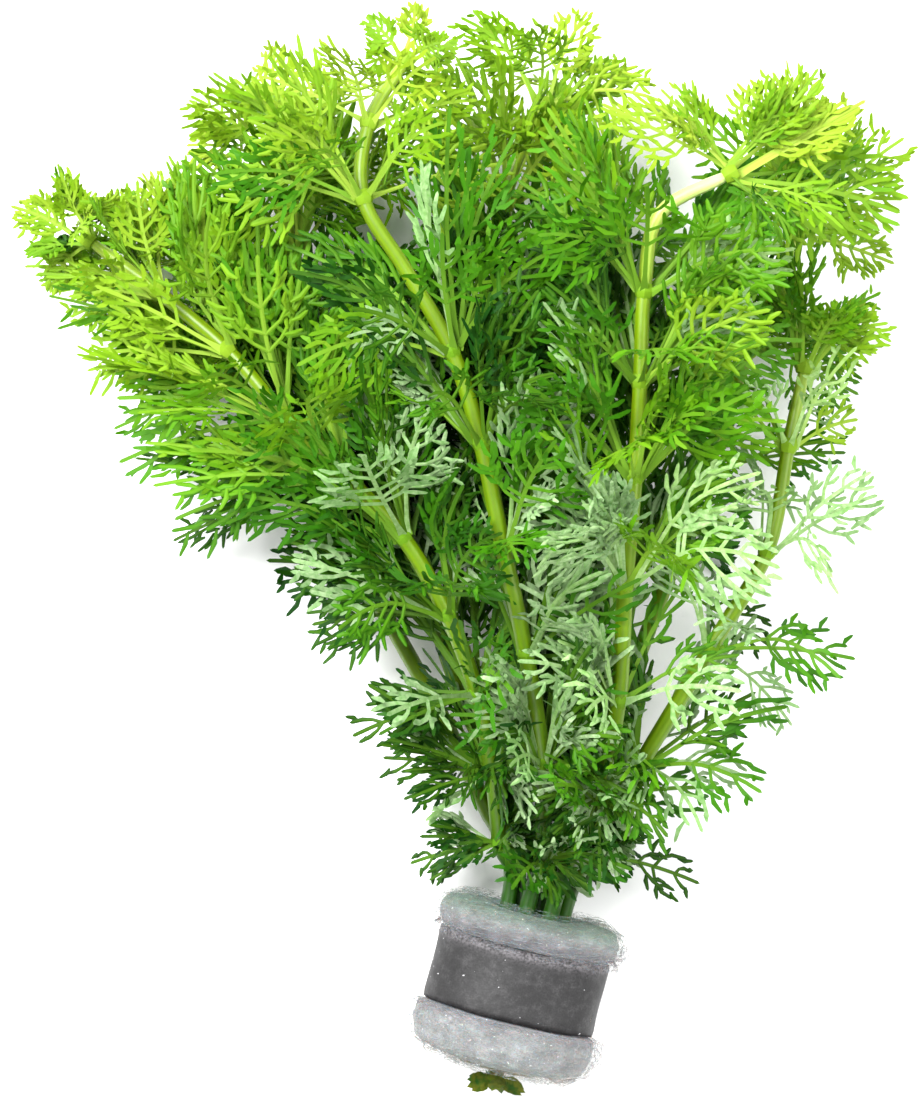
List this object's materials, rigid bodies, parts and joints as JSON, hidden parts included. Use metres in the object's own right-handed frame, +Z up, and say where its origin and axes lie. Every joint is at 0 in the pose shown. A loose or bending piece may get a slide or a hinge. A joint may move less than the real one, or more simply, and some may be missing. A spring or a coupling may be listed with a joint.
{
  "type": "aquarium plant bunch",
  "caption": "Bunch of cut limnophila heterophylla stems with whorls of finely divided leaves, wrapped in wool and a lead strip, lying on its back.",
  "frame": {"origin": "on the surface the bunch lies on, under the middle of its bounding box", "axes": "+Y from the cut stem ends to the leaf tips, +X to the right seen from above, +Z up from the surface"},
  "size_m": [0.1812, 0.2202, 0.0863],
  "materials": {
    "stem": "smooth, slightly waxy plant stem",
    "leaf": "satin leaf, paler underneath",
    "wool": "soft white filter wool",
    "lead": "dull grey lead sheet"
  },
  "bodies": {
    "root": {"lead_strip": "lead", "leaf_scraps": "leaf", "stem_back_centre": "stem", "stem_back_left": "stem", "stem_back_right": "stem", "stem_centre_left": "stem", "stem_centre_right": "stem", "stem_far_left": "stem", "stem_left": "stem", "stem_right": "stem", "whorl_back_centre_1": "leaf", "whorl_back_centre_2": "leaf", "whorl_back_centre_3": "leaf", "whorl_back_centre_4": "leaf", "whorl_back_centre_5": "leaf", "whorl_back_left_1": "leaf", "whorl_back_left_2": "leaf", "whorl_back_left_3": "leaf", "whorl_back_left_4": "leaf", "whorl_back_left_5": "leaf", "whorl_back_right_1": "leaf", "whorl_back_right_2": "leaf", "whorl_back_right_3": "leaf", "whorl_back_right_4": "leaf", "whorl_centre_left_1": "leaf", "whorl_centre_left_2": "leaf", "whorl_centre_left_3": "leaf", "whorl_centre_left_4": "leaf", "whorl_centre_left_5": "leaf", "whorl_centre_left_6": "leaf", "whorl_centre_left_7": "leaf", "whorl_centre_left_8": "leaf", "whorl_centre_left_9": "leaf", "whorl_centre_right_1": "leaf", "whorl_centre_right_2": "leaf", "whorl_centre_right_3": "leaf", "whorl_centre_right_4": "leaf", "whorl_centre_right_5": "leaf", "whorl_centre_right_6": "leaf", "whorl_centre_right_7": "leaf", "whorl_far_left_1": "leaf", "whorl_far_left_2": "leaf", "whorl_far_left_3": "leaf", "whorl_left_1": "leaf", "whorl_left_10": "leaf", "whorl_left_2": "leaf", "whorl_left_3": "leaf", "whorl_left_4": "leaf", "whorl_left_5": "leaf", "whorl_left_6": "leaf", "whorl_left_7": "leaf", "whorl_left_8": "leaf", "whorl_left_9": "leaf", "whorl_right_1": "leaf", "whorl_right_2": "leaf", "whorl_right_3": "leaf", "whorl_right_4": "leaf", "whorl_right_5": "leaf", "whorl_right_6": "leaf", "wool_wrap": "wool"}
  },
  "joints": []
}
